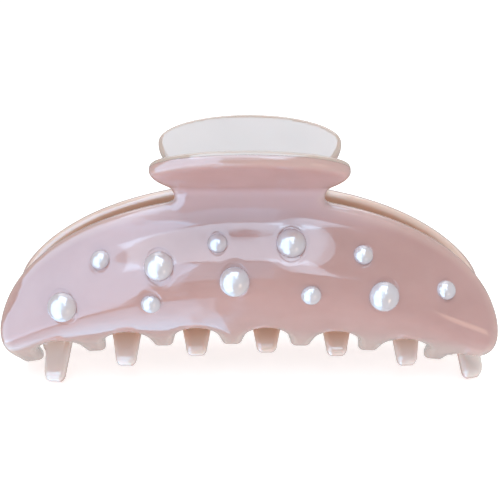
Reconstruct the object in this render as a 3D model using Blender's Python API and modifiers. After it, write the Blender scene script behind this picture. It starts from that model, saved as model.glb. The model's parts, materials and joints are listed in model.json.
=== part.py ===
"""A claw clip for hair: two heat-formed acetate jaws on a sprung hinge, set with half-round pearls.

Every size is in millimetres and becomes metres where an object is made. X runs along the
clip, -Y faces the front jaw, and the clip stands on its tooth tips at Z = 0. Both jaws are
cut from one blank, so one half is designed here, facing -Y with the hinge axis at its
origin, and the rear half is the same one turned round the vertical.
"""

import math

import bmesh
import bpy
from mathutils import Matrix, Vector

MM = 0.001
COLLECTION = "claw_clip"
MERGE = 1e-5

# The sheet, and where the hinge axis runs above the tooth tips.
THICKNESS = 3.0
EDGE_ROUND = 1.1
HINGE_HEIGHT = 41.36

# The sheet's middle, measured outward from the plane between the jaws.
NECK_OFFSET = 4.8
BULGE = 9.5
BULGE_REACH = 18.0
SHOULDER_DROP = 0.0061
CURL_START = -18.4
CURL_DROP = 0.0042
CURL_SLOPE_RISE = 0.6
CURL_SOFTNESS = 3.0
NECK_BEND_RADIUS = 4.73
HANDLE_LEAN = math.radians(53.0)

# The blank's outline, flat: x along the clip, s up the sheet from the hinge line.
HANDLE_HALF_WIDTH = 19.5
HANDLE_WIDEST = 9.6
HANDLE_TOP = 17.0
NECK_HALF_WIDTH = 15.1
SHOULDER_FOOT = 17.2
BODY_HALF_LENGTH = 51.0
BODY_WIDEST = -28.0
BODY_TOP = 0.1
TOOTH_PITCH = 15.1
TOOTH_COUNT = 7
TOOTH_ROOT_HALF_WIDTH = 2.75
TOOTH_TIP_HALF_WIDTH = 2.3
FIRST_TOOTH_INSET = 1.0
TOOTH_TIP_ROUND = 1.3
TIP_LINE = -35.6
TIP_DROP = 0.0025
NOTCH_LINE = -28.4
NOTCH_DROP = 0.0017
NOTCH_FLANK = 18.0
TAIL_FOOT = -35.2
TAIL_STEP = 1.5
BLANK_FOOT = -42.0

# Where the outline's free curves are pulled to: (x, s), or steps from a tooth's flank.
THROAT = (NECK_HALF_WIDTH, -0.2)
THROAT_PULLS = ((16.0, -1.3), (NECK_HALF_WIDTH, -1.0))
FLANK_PULLS = ((NECK_HALF_WIDTH, 2.8), (HANDLE_HALF_WIDTH, 5.0))
LEFT_END_PULL = (-BODY_HALF_LENGTH, -31.0)
LEFT_END_FOOT = ((-0.4, -33.0), (0.0, -37.0))
TAIL_HEEL = (0.2, -0.7)
TAIL_STEPS = ((0.4, -TAIL_STEP), (1.2, -TAIL_STEP), (1.0, 0.0), (2.2, 0.0))
RIGHT_END_PULLS = ((-2.6, TAIL_FOOT), (-0.6, TAIL_FOOT), (0.0, -32.0), (0.0, BODY_WIDEST))

# Spacing of the cuts that let the flat blank bend.
CUT_SPACING_X = 5.0
CUT_SPACING_S = 2.2

# Pearls: radius, then x and s of each seat on the blank.
LARGE_PEARL = 3.0
SMALL_PEARL = 2.0
PEARL_RISE = 0.82
SEAT_DEPTH = 0.9
CUTTER_LENGTH = 3.0
GAP = 0.3
LARGE_SEATS = ((-37.3, -21.3), (-17.8, -13.1), (-2.9, -14.8), (8.2, -9.1), (26.7, -18.2))
SMALL_SEATS = ((-29.7, -13.1), (-19.7, -19.2), (-6.3, -9.1), (12.3, -17.2), (22.5, -11.6), (39.3, -18.8))

# Hinge hardware, along X from the middle.
PIN_RADIUS = 0.9
PIN_HALF_LENGTH = 12.4
PIN_HEAD_RADIUS = 1.7
PIN_HEAD_THICKNESS = 0.8
CAP_OVERLAP = 1.0
EASED_EDGE = 0.2
RUNNING_CLEARANCE = 0.08
KNUCKLE_RADIUS = 2.5
KNUCKLE_WIDTH = 2.6
KNUCKLE_PAD = (-3.2, 2.2)
FRONT_KNUCKLE_X = 7.0
REAR_KNUCKLE_X = 10.0
WIRE_RADIUS = 0.4
COIL_RADIUS = 2.0
COIL_TURNS = 6
COIL_HALF_LENGTH = 3.9
LEG_LENGTH = 8.0


def smooth_step(u):
    """Runs from 0 to 1 as u does, with no bend at either end."""
    u = min(max(u, 0.0), 1.0)
    return u**3 * (6 * u * u - 15 * u + 10)


def body_offset(x, z):
    """How far out the sheet's middle lies below the hinge: bulging first, then curling in."""
    below_shoulder = -SHOULDER_DROP * x * x - z
    below_curl = CURL_START - CURL_DROP * x * x - z
    bulge = BULGE * smooth_step(below_shoulder / BULGE_REACH)
    slope = 1.0 + CURL_SLOPE_RISE * (x / BODY_HALF_LENGTH) ** 2
    curl = slope * CURL_SOFTNESS * math.log1p(math.exp(below_curl / CURL_SOFTNESS))
    return NECK_OFFSET + bulge - curl


def sheet_middle(x, s):
    """The formed sheet's middle at a point of the flat blank, as (x, outward, up)."""
    if s <= 0.0:
        return Vector((x, body_offset(x, s), s))
    turn = min(s / NECK_BEND_RADIUS, HANDLE_LEAN)
    straight = s - NECK_BEND_RADIUS * turn
    outward = NECK_OFFSET + NECK_BEND_RADIUS * (1 - math.cos(turn)) + straight * math.sin(turn)
    up = NECK_BEND_RADIUS * math.sin(turn) + straight * math.cos(turn)
    return Vector((x, outward, up))


def sheet_normal(x, s):
    """The outward normal of the formed sheet, as (x, outward, up)."""
    step = 0.01
    along = sheet_middle(x + step, s) - sheet_middle(x - step, s)
    rising = sheet_middle(x, s + step) - sheet_middle(x, s - step)
    return rising.cross(along).normalized()


def formed(x, s, height):
    """Where a point of the blank, height above its middle, goes: a half's own axes, facing -Y."""
    point = sheet_middle(x, s) + height * sheet_normal(x, s)
    return Vector((point.x, -point.y, point.z))


def arc(center, radii, start, stop, steps):
    """Points along an ellipse's arc, its angles in degrees."""
    angles = [math.radians(start + (stop - start) * i / steps) for i in range(steps + 1)]
    return [(center[0] + radii[0] * math.cos(a), center[1] + radii[1] * math.sin(a)) for a in angles]


def bezier(start, start_handle, end_handle, end, steps):
    """Points along a cubic curve."""
    points = []
    for i in range(steps + 1):
        t = i / steps
        weights = ((1 - t) ** 3, 3 * t * (1 - t) ** 2, 3 * t * t * (1 - t), t**3)
        corners = (start, start_handle, end_handle, end)
        points.append(tuple(sum(w * c[k] for w, c in zip(weights, corners)) for k in (0, 1)))
    return points


def mirrored(points):
    """The points on the other side of x = 0, in the reverse order."""
    return [(-x, s) for x, s in reversed(points)]


def shoulder_height(x):
    """The body's upper edge, a quarter of an ellipse."""
    return BODY_WIDEST + (BODY_TOP - BODY_WIDEST) * math.sqrt(1 - (x / BODY_HALF_LENGTH) ** 2)


def upper_edge():
    """The right side from the end of the body up to the middle of the handle's top."""
    start_angle = math.degrees(math.acos(SHOULDER_FOOT / BODY_HALF_LENGTH))
    body = arc((0, BODY_WIDEST), (BODY_HALF_LENGTH, BODY_TOP - BODY_WIDEST), 0, start_angle, 22)
    foot = (SHOULDER_FOOT, shoulder_height(SHOULDER_FOOT))
    widest = (HANDLE_HALF_WIDTH, HANDLE_WIDEST)
    throat = bezier(foot, *THROAT_PULLS, THROAT, 5)
    flank = bezier(THROAT, *FLANK_PULLS, widest, 8)
    top = arc((0, HANDLE_WIDEST), (HANDLE_HALF_WIDTH, HANDLE_TOP - HANDLE_WIDEST), 0, 90, 12)
    return body + throat[1:] + flank[1:] + top[1:]


def tooth_x(index):
    """Teeth sit a quarter pitch off centre, so that the two jaws' teeth pass each other."""
    inset = FIRST_TOOTH_INSET if index == 0 else 0.0
    return (index - (TOOTH_COUNT - 1) / 2 - 0.25) * TOOTH_PITCH + inset


def from_middle_tooth(x):
    return x - tooth_x((TOOTH_COUNT - 1) // 2)


def tooth(index):
    """One tooth's tip, from its left side to its right."""
    x = tooth_x(index)
    corner = TIP_LINE - TIP_DROP * from_middle_tooth(x) ** 2 + TOOTH_TIP_ROUND
    inset = TOOTH_TIP_HALF_WIDTH - TOOTH_TIP_ROUND
    radii = (TOOTH_TIP_ROUND, TOOTH_TIP_ROUND)
    left = arc((x - inset, corner), radii, 180, 270, 4)
    right = arc((x + inset, corner), radii, 270, 360, 4)
    return left + right


def notch(index):
    """The round-topped notch to the right of a tooth."""
    x = (tooth_x(index) + tooth_x(index + 1)) / 2
    radius = (tooth_x(index + 1) - tooth_x(index)) / 2 - TOOTH_ROOT_HALF_WIDTH
    crown = NOTCH_LINE - NOTCH_DROP * from_middle_tooth(x) ** 2
    return arc((x, crown - radius), (radius, radius), 180 - NOTCH_FLANK, NOTCH_FLANK, 10)


def lower_edge():
    """The toothed edge, from the body's left end to its right."""
    first_flank = tooth_x(0) - TOOTH_TIP_HALF_WIDTH
    last_flank = tooth_x(TOOTH_COUNT - 1) + TOOTH_TIP_HALF_WIDTH
    left_foot = [(first_flank + x, s) for x, s in LEFT_END_FOOT]
    points = bezier((-BODY_HALF_LENGTH, BODY_WIDEST), LEFT_END_PULL, *left_foot, 5)[1:]
    for index in range(TOOTH_COUNT):
        points += tooth(index)
        if index < TOOTH_COUNT - 1:
            points += notch(index)
    heel, drop = TAIL_HEEL
    points.append((last_flank + heel, TAIL_FOOT - TAIL_STEP + drop))
    points += bezier(*[(last_flank + x, TAIL_FOOT + s) for x, s in TAIL_STEPS], 4)
    points += bezier(*[(BODY_HALF_LENGTH + x, s) for x, s in RIGHT_END_PULLS], 5)[:-1]
    return points


def blank_outline():
    right = upper_edge()
    return right + mirrored(right)[1:] + lower_edge()


def outline_curve(name, outlines, half_thickness, edge_round=0.0):
    """A flat slab of the given closed outlines; an outline inside another is a hole."""
    curve = bpy.data.curves.new(name, "CURVE")
    curve.dimensions = "2D"
    curve.fill_mode = "BOTH"
    curve.extrude = half_thickness - edge_round
    curve.bevel_depth = edge_round
    curve.bevel_resolution = 1
    curve.offset = -edge_round
    for outline in outlines:
        spline = curve.splines.new("POLY")
        spline.points.add(len(outline) - 1)
        spline.use_cyclic_u = True
        for point, (x, y) in zip(spline.points, outline):
            point.co = (x, y, 0.0, 1.0)
    return bpy.data.objects.new(name, curve)


def finished_mesh(maker):
    """The closed mesh that a curve, or a mesh with modifiers, comes to; the maker is removed."""
    bpy.context.scene.collection.objects.link(maker)
    graph = bpy.context.evaluated_depsgraph_get()
    mesh = bpy.data.meshes.new_from_object(maker.evaluated_get(graph))
    bpy.data.objects.remove(maker)
    bm = bmesh.new()
    bm.from_mesh(mesh)
    bmesh.ops.remove_doubles(bm, verts=bm.verts, dist=MERGE)
    bmesh.ops.recalc_face_normals(bm, faces=bm.faces)
    bm.to_mesh(mesh)
    bm.free()
    return mesh


def slice_faces(bm, axis, low, high, spacing):
    """Cuts every face along evenly spaced planes, so that the sheet can bend between them."""
    count = math.ceil((high - low) / spacing)
    normal = [0.0, 0.0, 0.0]
    normal[axis] = 1.0
    for i in range(1, count):
        point = [0.0, 0.0, 0.0]
        point[axis] = low + (high - low) * i / count
        everything = bm.verts[:] + bm.edges[:] + bm.faces[:]
        bmesh.ops.bisect_plane(bm, geom=everything, dist=MERGE, plane_co=point, plane_no=normal)


def formed_sheet_mesh():
    """The blank, sliced and heat-formed to the jaw's shape, in metres."""
    mesh = finished_mesh(outline_curve("blank", [blank_outline()], THICKNESS / 2, EDGE_ROUND))
    bm = bmesh.new()
    bm.from_mesh(mesh)
    for side in (1, -1):
        flat = [f for f in bm.faces if f.normal.z * side > 0.99]
        bmesh.ops.dissolve_faces(bm, faces=flat)
    slice_faces(bm, 0, -BODY_HALF_LENGTH, BODY_HALF_LENGTH, CUT_SPACING_X)
    slice_faces(bm, 1, BLANK_FOOT, HANDLE_TOP, CUT_SPACING_S)
    bmesh.ops.triangulate(bm, faces=[f for f in bm.faces if len(f.verts) > 4])
    for vert in bm.verts:
        vert.co = formed(*vert.co) * MM
    bmesh.ops.recalc_face_normals(bm, faces=bm.faces)
    bm.to_mesh(mesh)
    bm.free()
    mesh.shade_smooth()
    mesh.set_sharp_from_angle(angle=math.radians(35))
    return mesh


def seat_matrix(x, s, height):
    """Turns +Z to the outer face's normal at a point of the blank, and goes there."""
    here = formed(x, s, height)
    normal = formed(x, s, height + 1.0) - here
    turn = normal.to_track_quat("Z", "Y").to_matrix().to_4x4()
    return Matrix.Translation(here * MM) @ turn


def all_seats():
    return [(LARGE_PEARL, x, s) for x, s in LARGE_SEATS] + [(SMALL_PEARL, x, s) for x, s in SMALL_SEATS]


def seat_cutter():
    """One mesh of round plugs, which cuts every pearl's seat from a jaw."""
    bm = bmesh.new()
    for radius, x, s in all_seats():
        place = seat_matrix(x, s, (THICKNESS + CUTTER_LENGTH) / 2 - SEAT_DEPTH)
        bmesh.ops.create_cone(bm, cap_ends=True, segments=24, radius1=(radius + GAP) * MM,
                              radius2=(radius + GAP) * MM, depth=CUTTER_LENGTH * MM, matrix=place)
    mesh = bpy.data.meshes.new("pearl_seats")
    bm.to_mesh(mesh)
    bm.free()
    return mesh


def plain_material(name, color, roughness, metallic=0.0):
    material = bpy.data.materials.new(name)
    material.use_nodes = True
    shader = material.node_tree.nodes["Principled BSDF"]
    shader.inputs["Base Color"].default_value = (*color, 1.0)
    shader.inputs["Roughness"].default_value = roughness
    shader.inputs["Metallic"].default_value = metallic
    return material


def add_part(name, data, material, parent, collection, matrix=None):
    """Links a sub-part to the object's collection, under one half's empty."""
    part = bpy.data.objects.new(name, data)
    if not data.materials:
        data.materials.append(material)
    collection.objects.link(part)
    part.parent = parent
    if matrix:
        part.matrix_basis = matrix
    return part


def turned(name, profile, axis, steps):
    """A profile of (radius, height) points turned about X or Z; it closes on the axis or on itself."""
    bm = bmesh.new()
    places = [(h, 0.0, r) if axis == "X" else (r, 0.0, h) for r, h in profile]
    verts = [bm.verts.new(Vector(place) * MM) for place in places]
    for pair in zip(verts, verts[1:]):
        bm.edges.new(pair)
    if profile[0][0] > 0.0:
        bm.edges.new((verts[-1], verts[0]))
    blank = bpy.data.meshes.new(name)
    bm.to_mesh(blank)
    bm.free()
    maker = bpy.data.objects.new(name, blank)
    screw = maker.modifiers.new("turn", "SCREW")
    screw.axis = axis
    screw.steps = steps
    screw.render_steps = steps
    screw.use_merge_vertices = True
    screw.merge_threshold = MERGE
    mesh = finished_mesh(maker)
    mesh.shade_smooth()
    mesh.set_sharp_from_angle(angle=math.radians(40))
    return mesh


def pearl_profile(radius):
    """A half-round pearl's outline: its flat back, short side and dome."""
    foot = GAP - SEAT_DEPTH
    dome = [(radius * math.cos(math.radians(a)), PEARL_RISE * radius * math.sin(math.radians(a)))
            for a in (0, 18, 36, 54, 72)]
    top = (0.0, PEARL_RISE * radius)
    return [(0.0, foot), (radius - EASED_EDGE, foot), (radius, foot + EASED_EDGE), *dome, top]


def knuckle_outline():
    """A knuckle's side: a barrel round the hinge axis, faired into a pad against the jaw."""
    pad = NECK_OFFSET - THICKNESS / 2 - GAP
    low, high = KNUCKLE_PAD
    barrel = arc((0, 0), (KNUCKLE_RADIUS, KNUCKLE_RADIUS), 70, 290, 20)
    return [(-pad, high), (-pad, low), *[(-x, y) for x, y in reversed(barrel)]]


def knuckle_mesh(name):
    bore = arc((0, 0), (PIN_RADIUS + RUNNING_CLEARANCE,) * 2, 0, 360, 40)[:-1]
    mesh = finished_mesh(outline_curve(name, [knuckle_outline(), bore], KNUCKLE_WIDTH / 2))
    upright = Matrix(((0, 0, 1, 0), (1, 0, 0, 0), (0, 1, 0, 0), (0, 0, 0, 1)))
    mesh.transform(Matrix.Scale(MM, 4) @ upright)
    return mesh


def leg_lean():
    """How far from the vertical a spring leg runs, so that its end meets the handle's inner face."""
    bend_center = NECK_OFFSET + NECK_BEND_RADIUS
    face = bend_center * math.cos(HANDLE_LEAN) - NECK_BEND_RADIUS - THICKNESS / 2
    closing = COIL_RADIUS + face - GAP - WIRE_RADIUS
    return HANDLE_LEAN + math.asin(closing / LEG_LENGTH)


def spring_path():
    """The torsion spring's wire: rear leg, coil, front leg."""
    lean = leg_lean()
    start = math.pi / 2 + math.radians(90) - lean
    sweep = 2 * math.pi * COIL_TURNS - 2 * start + math.pi
    coil = []
    steps = 16 * COIL_TURNS
    for i in range(steps + 1):
        angle = start + sweep * i / steps
        x = COIL_HALF_LENGTH * (2 * i / steps - 1)
        coil.append((x, COIL_RADIUS * math.cos(angle), COIL_RADIUS * math.sin(angle)))
    reach = Vector((0, math.sin(lean), math.cos(lean))) * LEG_LENGTH
    rear_tip = Vector(coil[0]) + reach
    front_tip = Vector(coil[-1]) + Vector((0, -reach.y, reach.z))
    return [rear_tip, *coil, front_tip]


def spring_curve(name):
    curve = bpy.data.curves.new(name, "CURVE")
    curve.dimensions = "3D"
    curve.bevel_depth = WIRE_RADIUS * MM
    curve.bevel_resolution = 2
    curve.use_fill_caps = True
    path = spring_path()
    spline = curve.splines.new("POLY")
    spline.points.add(len(path) - 1)
    for point, place in zip(spline.points, path):
        point.co = (*(c * MM for c in place), 1.0)
    return curve


def pin_profile():
    """The pin's outside, from its plain end to its head."""
    end = PIN_HALF_LENGTH
    head = -end - PIN_HEAD_THICKNESS
    return [(0.0, end), (PIN_RADIUS - EASED_EDGE, end), (PIN_RADIUS, end - EASED_EDGE), (PIN_RADIUS, -end),
            (PIN_HEAD_RADIUS, -end), (PIN_HEAD_RADIUS, head + EASED_EDGE),
            (PIN_HEAD_RADIUS - EASED_EDGE, head), (0.0, head)]


def cap_profile():
    """A push-on cap: a ring that grips the pin's plain end."""
    bore = PIN_RADIUS + RUNNING_CLEARANCE
    near = PIN_HALF_LENGTH - CAP_OVERLAP
    far = near + PIN_HEAD_THICKNESS
    return [(bore, near), (PIN_HEAD_RADIUS, near), (PIN_HEAD_RADIUS, far - EASED_EDGE),
            (PIN_HEAD_RADIUS - EASED_EDGE, far), (bore, far)]


def make_half(side, turn, knuckle_x, shared, collection):
    """One half of the clip: its jaw, two knuckles and its pearls, under an empty on the hinge axis."""
    hinge = bpy.data.objects.new(f"{side}_half", None)
    hinge.location = (0, 0, HINGE_HEIGHT * MM)
    hinge.rotation_euler = (0, 0, turn)
    collection.objects.link(hinge)

    acetate = plain_material(f"{side}_jaw", (0.62, 0.42, 0.43), 0.18)
    jaw = add_part(f"{side}_jaw", shared["sheet"].copy(), acetate, hinge, collection)
    cut = jaw.modifiers.new("pearl_seats", "BOOLEAN")
    cutter = bpy.data.objects.new(f"{side}_pearl_seats", shared["seats"])
    cutter.parent = hinge
    cutter.hide_render = True
    cutter.display_type = "WIRE"
    shared["cutters"].objects.link(cutter)
    cut.object = cutter

    horn = plain_material(f"{side}_knuckles", (0.80, 0.74, 0.70), 0.3)
    for end, place in (("left", -knuckle_x), ("right", knuckle_x)):
        at = Matrix.Translation((place * MM, 0, 0))
        add_part(f"{side}_knuckle_{end}", shared["knuckle"].copy(), horn, hinge, collection, at)

    pearl = plain_material(f"{side}_pearls", (0.86, 0.85, 0.84), 0.15)
    for size, seats in (("large", LARGE_SEATS), ("small", SMALL_SEATS)):
        mesh = shared[size].copy()
        for number, (x, s) in enumerate(seats, 1):
            at = seat_matrix(x, s, THICKNESS / 2)
            add_part(f"{side}_pearl_{size}_{number}", mesh, pearl, hinge, collection, at)


def build():
    for leftover in list(bpy.data.objects):
        bpy.data.objects.remove(leftover)
    collection = bpy.data.collections.new(COLLECTION)
    cutters = bpy.data.collections.new(f"{COLLECTION}_cutters")
    bpy.context.scene.collection.children.link(collection)
    bpy.context.scene.collection.children.link(cutters)

    shared = {
        "sheet": formed_sheet_mesh(),
        "seats": seat_cutter(),
        "cutters": cutters,
        "knuckle": knuckle_mesh("knuckle"),
        "large": turned("pearl_large", pearl_profile(LARGE_PEARL), "Z", 16),
        "small": turned("pearl_small", pearl_profile(SMALL_PEARL), "Z", 16),
    }
    make_half("front", 0.0, FRONT_KNUCKLE_X, shared, collection)
    make_half("rear", math.pi, REAR_KNUCKLE_X, shared, collection)

    rear = bpy.data.objects["rear_half"]
    square_on = Matrix.Rotation(-math.pi, 4, "Z")
    steel = plain_material("hinge_steel", (0.72, 0.71, 0.69), 0.25, 1.0)
    add_part("hinge_pin", turned("hinge_pin", pin_profile(), "X", 24), steel, rear, collection, square_on)
    add_part("pin_cap", turned("pin_cap", cap_profile(), "X", 24), steel, rear, collection, square_on)
    spring_steel = plain_material("spring_steel", (0.66, 0.65, 0.62), 0.3, 1.0)
    add_part("torsion_spring", spring_curve("torsion_spring"), spring_steel, rear, collection, square_on)


build()
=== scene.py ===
"""Looks for a large claw clip: formed acetate jaws, half-round pearls and a sprung hinge.

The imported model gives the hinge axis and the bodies. Each jaw is cut flat as a blank, shaped
in edit mode, then formed: sizes are in millimetres on the blank and become metres when a
finished mesh is written. X runs along the clip and the front jaw faces -Y.
"""

import json
import logging
import math
from collections.abc import Callable
from dataclasses import dataclass, field
from enum import Enum

import bmesh
import bpy
import numpy as np
from mathutils import Matrix, Vector

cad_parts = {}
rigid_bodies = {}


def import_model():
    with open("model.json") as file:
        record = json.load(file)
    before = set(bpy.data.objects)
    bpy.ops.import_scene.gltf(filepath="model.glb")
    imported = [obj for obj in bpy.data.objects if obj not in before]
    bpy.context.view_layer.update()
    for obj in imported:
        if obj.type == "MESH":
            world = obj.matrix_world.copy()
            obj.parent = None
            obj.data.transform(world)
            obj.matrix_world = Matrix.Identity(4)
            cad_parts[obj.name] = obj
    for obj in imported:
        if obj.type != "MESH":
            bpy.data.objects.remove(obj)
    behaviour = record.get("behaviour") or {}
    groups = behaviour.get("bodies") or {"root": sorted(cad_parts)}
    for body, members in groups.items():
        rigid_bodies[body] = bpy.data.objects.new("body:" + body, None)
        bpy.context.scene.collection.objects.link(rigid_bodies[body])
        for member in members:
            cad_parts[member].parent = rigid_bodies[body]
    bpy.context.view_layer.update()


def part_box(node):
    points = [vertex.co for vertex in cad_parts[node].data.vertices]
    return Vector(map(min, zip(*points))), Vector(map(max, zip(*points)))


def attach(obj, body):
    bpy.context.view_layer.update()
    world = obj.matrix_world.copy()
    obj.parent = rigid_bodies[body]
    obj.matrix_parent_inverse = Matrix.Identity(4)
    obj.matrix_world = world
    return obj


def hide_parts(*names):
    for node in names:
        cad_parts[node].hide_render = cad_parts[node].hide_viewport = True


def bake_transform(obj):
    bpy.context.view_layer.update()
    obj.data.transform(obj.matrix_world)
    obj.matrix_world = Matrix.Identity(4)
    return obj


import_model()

log = logging.getLogger("claw_clip")

MM = 0.001
MERGE_MM = 1e-4
Point = tuple[float, float]
Color = tuple[float, float, float]


class Side(Enum):
    """The clip's two halves, by the name of the body that each one rides on."""

    FRONT = "front"
    REAR = "rear"

    @property
    def body(self) -> str:
        """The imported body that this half's pieces follow."""
        return f"{self.value}_half"

    @property
    def facing(self) -> float:
        """1 for the half that faces -Y, -1 for the one turned round the vertical."""
        return 1.0 if self is Side.FRONT else -1.0


class PearlSize(Enum):
    """The two stock sizes of half-round pearl, by their radius in millimetres."""

    LARGE = 3.0
    SMALL = 2.0

    @property
    def label(self) -> str:
        """The word that the piece's name holds."""
        return self.name.lower()


# ---------------------------------------------------------------------------------------
# Shader tools


class Wire:
    """An output socket that can be used in Python sums; each operator adds a Math node."""

    def __init__(self, paint: "Paint", socket: bpy.types.NodeSocket) -> None:
        """Keeps the socket and the material it belongs to."""
        self.paint = paint
        self.socket = socket

    def _math(self, operation: str, *values: "Wire | float") -> "Wire":
        """Adds one Math node and returns its result."""
        inputs = dict(enumerate(values))
        return self.paint.node("ShaderNodeMath", {"operation": operation}, inputs)

    def __add__(self, other: "Wire | float") -> "Wire":
        """self + other."""
        return self._math("ADD", self, other)

    def __sub__(self, other: "Wire | float") -> "Wire":
        """self - other."""
        return self._math("SUBTRACT", self, other)

    def __rsub__(self, other: float) -> "Wire":
        """other - self."""
        return self._math("SUBTRACT", other, self)

    def __mul__(self, other: "Wire | float") -> "Wire":
        """self * other."""
        return self._math("MULTIPLY", self, other)

    __radd__ = __add__
    __rmul__ = __mul__

    def between(self, low: float, high: float) -> "Wire":
        """Runs smoothly from 0 where self is low to 1 where it is high.

        Args:
            low: The value that becomes 0.
            high: The value that becomes 1.

        Returns:
            The eased mask.
        """
        settings = {"interpolation_type": "SMOOTHSTEP"}
        inputs = {"Value": self, "From Min": low, "From Max": high}
        return self.paint.node("ShaderNodeMapRange", settings, inputs)


class Paint:
    """A node material under construction."""

    def __init__(self, name: str) -> None:
        """Makes an empty node material of that name with its output and shader.

        Args:
            name: The material's name.
        """
        self.material = bpy.data.materials.new(name)
        self.material.use_nodes = True
        self.tree = self.material.node_tree
        self.tree.nodes.clear()
        self.shader = self.tree.nodes.new("ShaderNodeBsdfPrincipled")
        output = self.tree.nodes.new("ShaderNodeOutputMaterial")
        self.tree.links.new(self.shader.outputs[0], output.inputs["Surface"])

    def node(self, kind: str, settings: dict, inputs: dict, output: int | str = 0) -> Wire:
        """Adds any node.

        Args:
            kind: The node's type.
            settings: Its own properties, set first.
            inputs: Values or wires for its input sockets, by name or number.
            output: The output socket to return.

        Returns:
            That output as a wire.
        """
        made = self.tree.nodes.new(kind)
        for key, value in settings.items():
            setattr(made, key, value)
        for key, value in inputs.items():
            self.feed(made.inputs[key], value)
        return Wire(self, made.outputs[output])

    def feed(self, socket: bpy.types.NodeSocket, value: object) -> None:
        """Links a wire to a socket, or sets the socket's own value."""
        if isinstance(value, Wire):
            self.tree.links.new(value.socket, socket)
        elif isinstance(value, tuple) and len(value) == 3 and socket.type == "RGBA":
            socket.default_value = (*value, 1.0)
        else:
            socket.default_value = value

    def finish(self, **inputs: object) -> bpy.types.Material:
        """Feeds the shader's sockets, named with underscores for spaces.

        Returns:
            The finished material.
        """
        for key, value in inputs.items():
            self.feed(self.shader.inputs[key.replace("_", " ")], value)
        return self.material

    def place(self) -> Wire:
        """The object's own coordinates, in metres."""
        return self.node("ShaderNodeTexCoord", {}, {}, "Object")

    def along(self, axis: str) -> Wire:
        """One of the object's own coordinates: X, Y or Z, in metres."""
        return self.node("ShaderNodeSeparateXYZ", {}, {0: self.place()}, axis)

    def attribute(self, name: str) -> Wire:
        """A number that the mesh stores at each point."""
        return self.node("ShaderNodeAttribute", {"attribute_name": name}, {}, "Fac")

    def noise(self, size: float, detail: float = 2.0, roughness: float = 0.5) -> Wire:
        """Soft noise from 0 to 1.

        Args:
            size: How far apart its features lie, in millimetres.
            detail: How many finer layers it has.
            roughness: How strong the finer layers are.

        Returns:
            The noise as a wire.
        """
        inputs = {"Vector": self.place(), "Scale": 1.0 / (size * MM), "Detail": detail,
                  "Roughness": roughness}
        return self.node("ShaderNodeTexNoise", {}, inputs, "Fac")

    def blend(self, mask: "Wire | float", first: "Wire | Color", second: "Wire | Color") -> Wire:
        """Mixes two colours: the first where the mask is 0, the second where it is 1.

        Args:
            mask: How much of the second shows.
            first: A colour or a wire.
            second: A colour or a wire.

        Returns:
            The mixed colour.
        """
        made = self.tree.nodes.new("ShaderNodeMix")
        made.data_type = "RGBA"
        for index, value in ((0, mask), (6, first), (7, second)):
            self.feed(made.inputs[index], value)
        return Wire(self, made.outputs[2])

    def bump(self, height: Wire, depth: float, below: Wire | None = None) -> Wire:
        """Turns a height from 0 to 1 into a normal.

        Args:
            height: The height.
            depth: How far 1 stands above 0, in millimetres.
            below: Another bump to add this one to.

        Returns:
            The bumped normal.
        """
        inputs = {"Height": height, "Distance": depth * MM, "Strength": 1.0}
        if below:
            inputs["Normal"] = below
        return self.node("ShaderNodeBump", {}, inputs)


# ---------------------------------------------------------------------------------------
# Finishes


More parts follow.
